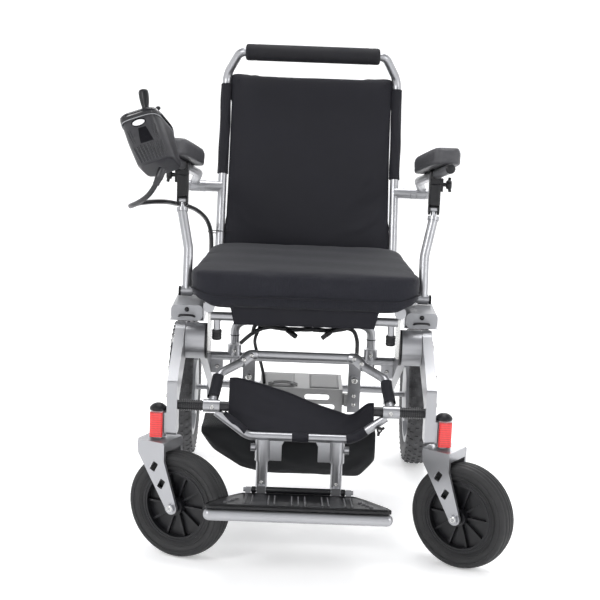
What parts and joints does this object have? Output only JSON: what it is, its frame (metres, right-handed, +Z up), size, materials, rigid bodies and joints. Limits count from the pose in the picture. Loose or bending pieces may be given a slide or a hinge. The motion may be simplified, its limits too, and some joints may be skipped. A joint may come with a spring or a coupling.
{
  "type": "folding power wheelchair",
  "caption": "Folding power wheelchair with a tubular frame, hub-motor rear wheels, swivel casters, reclined padded back, cushion, armrests, joystick pod and flip-up footplate.",
  "frame": {"origin": "on the floor, on the centre plane of the frame, 10 mm behind the line of the caster swivel axes", "axes": "+Z up; the chair faces -Y, so +Y points to the push handle; +X to the left hand of a person sitting in it"},
  "size_m": [0.7334, 0.94, 0.941],
  "materials": {
    "alloy": "satin anodised",
    "steel": "satin",
    "black_plastic": "moulded, fine grain",
    "grey_plastic": "satin moulded",
    "pod_plastic": "satin moulded",
    "grey_metal": "powder coat",
    "black_metal": "powder coat",
    "red_lens": "prismatic reflector",
    "cloth": "woven nylon",
    "mesh_cloth": "spacer mesh over foam",
    "pad_foam": "moulded skin foam",
    "grip_foam": "soft sleeve",
    "tyre_black": "tread rubber",
    "tyre_grey": "tread rubber",
    "cord_black": "jacket"
  },
  "bodies": {
    "front_frame": {"front_legs": "alloy", "stem_bearings": "steel", "reflectors": "red_lens", "pivot_caps": "black_plastic", "front_crossbars": "black_metal", "front_cross_tube": "alloy", "leg_sling": "cloth", "footrest_carrier": "alloy", "seat_rails": "alloy", "seat_cross_tubes": "alloy", "seat_links": "steel", "seat_bumpers": "black_metal", "seat_hoop": "alloy", "battery_trays": "alloy", "seat_sling": "cloth", "seat_cushion": "mesh_cloth", "storage_bag": "cloth", "wiring_harness": "cord_black", "controller_lead": "cord_black"},
    "battery_left": {"battery_left": "grey_plastic"},
    "battery_right": {"battery_right": "grey_plastic"},
    "rear_frame": {"rear_legs": "alloy", "rear_cross_frame": "alloy", "controller_case": "grey_metal", "controller_module": "grey_metal"},
    "rear_wheel_left": {"rear_tyre_left": "tyre_grey", "rear_hub_left": "grey_plastic"},
    "rear_wheel_right": {"rear_tyre_right": "tyre_grey", "rear_hub_right": "grey_plastic"},
    "backrest": {"back_frame": "alloy", "push_grip": "grip_foam", "back_cover": "cloth", "back_sleeves": "cloth", "joystick_cord": "cord_black"},
    "strut_left": {"arm_strut_left": "alloy"},
    "strut_right": {"arm_strut_right": "alloy"},
    "latch_left": {"arm_latch_left": "black_plastic"},
    "latch_right": {"arm_latch_right": "black_plastic"},
    "arm_collar_left": {"arm_collar_left": "alloy"},
    "arm_collar_right": {"arm_collar_right": "alloy"},
    "armrest_left": {"arm_tube_left": "alloy", "arm_pad_left": "pad_foam", "joystick_case": "pod_plastic", "joystick_cover": "pod_plastic"},
    "armrest_right": {"arm_tube_right": "alloy", "arm_pad_right": "pad_foam"},
    "joystick_gimbal": {"joystick_gimbal": "black_plastic"},
    "joystick_stick": {"joystick_knob": "black_plastic"},
    "power_button": {"power_button": "black_plastic"},
    "horn_button": {"horn_button": "black_plastic"},
    "speed_lever": {"speed_lever": "black_plastic"},
    "caster_fork_left": {"caster_fork_left": "alloy"},
    "caster_fork_right": {"caster_fork_right": "alloy"},
    "caster_wheel_left": {"caster_tyre_left": "tyre_black", "caster_hub_left": "black_plastic"},
    "caster_wheel_right": {"caster_tyre_right": "tyre_black", "caster_hub_right": "black_plastic"},
    "footrest_hangers": {"footrest_hangers": "alloy"},
    "footplate": {"footplate": "black_plastic", "footplate_frame": "alloy"}
  },
  "joints": [
    {"name": "rear_frame_fold", "type": "hinge", "parent": "front_frame", "child": "rear_frame", "pos_m": [0, 0.145, 0.372], "axis": [1, 0, 0], "range_deg": [-38, 0], "deforming": ["controller_lead"]},
    {"name": "backrest_fold", "type": "hinge", "parent": "front_frame", "child": "backrest", "pos_m": [0, 0.504, 0.452], "axis": [1, 0, 0], "range_deg": [0, 75], "deforming": ["seat_cushion", "joystick_cord"]},
    {"name": "strut_left_swing", "type": "hinge", "parent": "front_frame", "child": "strut_left", "pos_m": [-0.237, 0.237, 0.452], "axis": [1, 0, 0], "range_deg": [0, 75]},
    {"name": "latch_left_swing", "type": "hinge", "parent": "strut_left", "child": "latch_left", "pos_m": [-0.254, 0.2954, 0.628], "axis": [1, 0, 0], "range_deg": [-75, 0]},
    {"name": "arm_collar_left_swing", "type": "hinge", "parent": "backrest", "child": "arm_collar_left", "pos_m": [-0.233, 0.5624, 0.628], "axis": [1, 0, 0], "range_deg": [-75, 0]},
    {"name": "armrest_left_flip", "type": "hinge", "parent": "arm_collar_left", "child": "armrest_left", "pos_m": [-0.249, 0.5624, 0.628], "axis": [-1, 0, 0], "range_deg": [0, 95]},
    {"name": "battery_left_slide", "type": "slide", "parent": "front_frame", "child": "battery_left", "axis": [0, -1, 0], "range_m": [0, 0.33]},
    {"name": "caster_left_swivel", "type": "hinge", "parent": "front_frame", "child": "caster_fork_left", "pos_m": [-0.265, -0.01, 0.24], "axis": [0, 0, 1], "continuous": true},
    {"name": "caster_left_roll", "type": "hinge", "parent": "caster_fork_left", "child": "caster_wheel_left", "pos_m": [-0.22006, -0.03192, 0.1], "axis": [0.4384, 0.8988, 0], "continuous": true},
    {"name": "rear_wheel_left_roll", "type": "hinge", "parent": "rear_frame", "child": "rear_wheel_left", "pos_m": [-0.266, 0.604, 0.159], "axis": [1, 0, 0], "continuous": true},
    {"name": "strut_right_swing", "type": "hinge", "parent": "front_frame", "child": "strut_right", "pos_m": [0.237, 0.237, 0.452], "axis": [1, 0, 0], "range_deg": [0, 75]},
    {"name": "latch_right_swing", "type": "hinge", "parent": "strut_right", "child": "latch_right", "pos_m": [0.254, 0.2954, 0.628], "axis": [1, 0, 0], "range_deg": [-75, 0]},
    {"name": "arm_collar_right_swing", "type": "hinge", "parent": "backrest", "child": "arm_collar_right", "pos_m": [0.233, 0.5624, 0.628], "axis": [1, 0, 0], "range_deg": [-75, 0]},
    {"name": "armrest_right_flip", "type": "hinge", "parent": "arm_collar_right", "child": "armrest_right", "pos_m": [0.249, 0.5624, 0.628], "axis": [-1, 0, 0], "range_deg": [0, 95]},
    {"name": "battery_right_slide", "type": "slide", "parent": "front_frame", "child": "battery_right", "axis": [0, -1, 0], "range_m": [0, 0.33]},
    {"name": "caster_right_swivel", "type": "hinge", "parent": "front_frame", "child": "caster_fork_right", "pos_m": [0.265, -0.01, 0.24], "axis": [0, 0, 1], "continuous": true},
    {"name": "caster_right_roll", "type": "hinge", "parent": "caster_fork_right", "child": "caster_wheel_right", "pos_m": [0.30596, -0.03868, 0.1], "axis": [0.5736, 0.8192, 0], "continuous": true},
    {"name": "rear_wheel_right_roll", "type": "hinge", "parent": "rear_frame", "child": "rear_wheel_right", "pos_m": [0.266, 0.604, 0.159], "axis": [1, 0, 0], "continuous": true},
    {"name": "footrest_height", "type": "slide", "parent": "front_frame", "child": "footrest_hangers", "axis": [0, 0, -1], "range_m": [0, 0.05]},
    {"name": "footplate_flip", "type": "hinge", "parent": "footrest_hangers", "child": "footplate", "pos_m": [0, -0.012, 0.125], "axis": [-1, 0, 0], "range_deg": [0, 75]},
    {"name": "joystick_pitch", "type": "hinge", "parent": "armrest_left", "child": "joystick_gimbal", "pos_m": [-0.29345, -0.02433, 0.81232], "axis": [0.9431, -0.0437, 0.3297], "range_deg": [-16, 16], "stiffness_Nm_per_rad": 0.4},
    {"name": "joystick_roll", "type": "hinge", "parent": "joystick_gimbal", "child": "joystick_stick", "pos_m": [-0.29345, -0.02433, 0.81232], "axis": [0.1653, 0.9218, -0.3507], "range_deg": [-16, 16], "stiffness_Nm_per_rad": 0.4},
    {"name": "power_button_press", "type": "slide", "parent": "armrest_left", "child": "power_button", "axis": [0.2886, -0.3852, -0.8765], "range_m": [0, 0.0012], "stiffness_N_per_m": 300},
    {"name": "horn_button_press", "type": "slide", "parent": "armrest_left", "child": "horn_button", "axis": [0.2886, -0.3852, -0.8765], "range_m": [0, 0.0012], "stiffness_N_per_m": 300},
    {"name": "speed_lever_tilt", "type": "hinge", "parent": "armrest_left", "child": "speed_lever", "pos_m": [-0.27529, 0.00271, 0.80642], "axis": [0.1653, 0.9218, -0.3507], "range_deg": [-15, 15], "stiffness_Nm_per_rad": 0.02}
  ],
  "couplings": [
    {"joint": "strut_left_swing", "follows": "backrest_fold", "ratio": 1},
    {"joint": "latch_left_swing", "follows": "backrest_fold", "ratio": -1},
    {"joint": "arm_collar_left_swing", "follows": "backrest_fold", "ratio": -1},
    {"joint": "strut_right_swing", "follows": "backrest_fold", "ratio": 1},
    {"joint": "latch_right_swing", "follows": "backrest_fold", "ratio": -1},
    {"joint": "arm_collar_right_swing", "follows": "backrest_fold", "ratio": -1}
  ]
}
